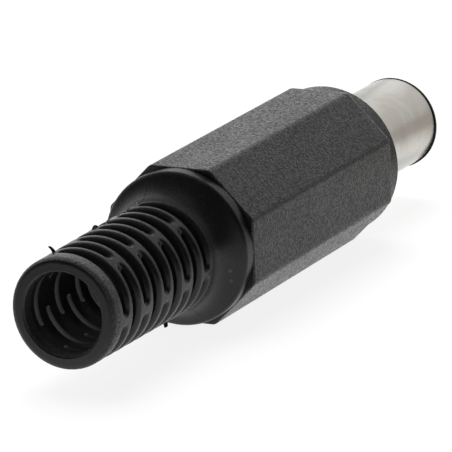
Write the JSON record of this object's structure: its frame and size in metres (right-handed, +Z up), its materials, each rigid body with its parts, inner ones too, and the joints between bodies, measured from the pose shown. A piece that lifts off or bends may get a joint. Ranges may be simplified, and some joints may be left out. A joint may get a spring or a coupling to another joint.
{
  "type": "dc barrel plug",
  "caption": "Straight DC power plug: plated barrel with centre socket, black eight-sided screw-on handle and slotted bending boot for the cord.",
  "frame": {"origin": "on the plug's axis at the barrel's root, on the front face of the sleeve's flange", "axes": "+X along the axis towards the barrel's tip, +Z up with a flat of the grip facing up and its opposite flat on the floor side"},
  "size_m": [0.0428, 0.0092, 0.0092],
  "materials": {
    "handle_plastic": "fine spark-eroded texture, smooth boot",
    "nickel": "satin nickel plate",
    "insulator_plastic": "smooth",
    "tin": "bright tin plate"
  },
  "bodies": {
    "plug": {"barrel_sleeve": "nickel", "tip_insulator": "insulator_plastic", "centre_contact": "nickel", "rear_bush": "insulator_plastic", "centre_terminal": "tin", "sleeve_terminal": "tin"},
    "handle_body": {"handle": "handle_plastic"}
  },
  "joints": [
    {"name": "handle_slide", "type": "slide", "parent": "plug", "child": "handle_body", "axis": [-1, 0, 0], "range_m": [0, 0.02]}
  ]
}
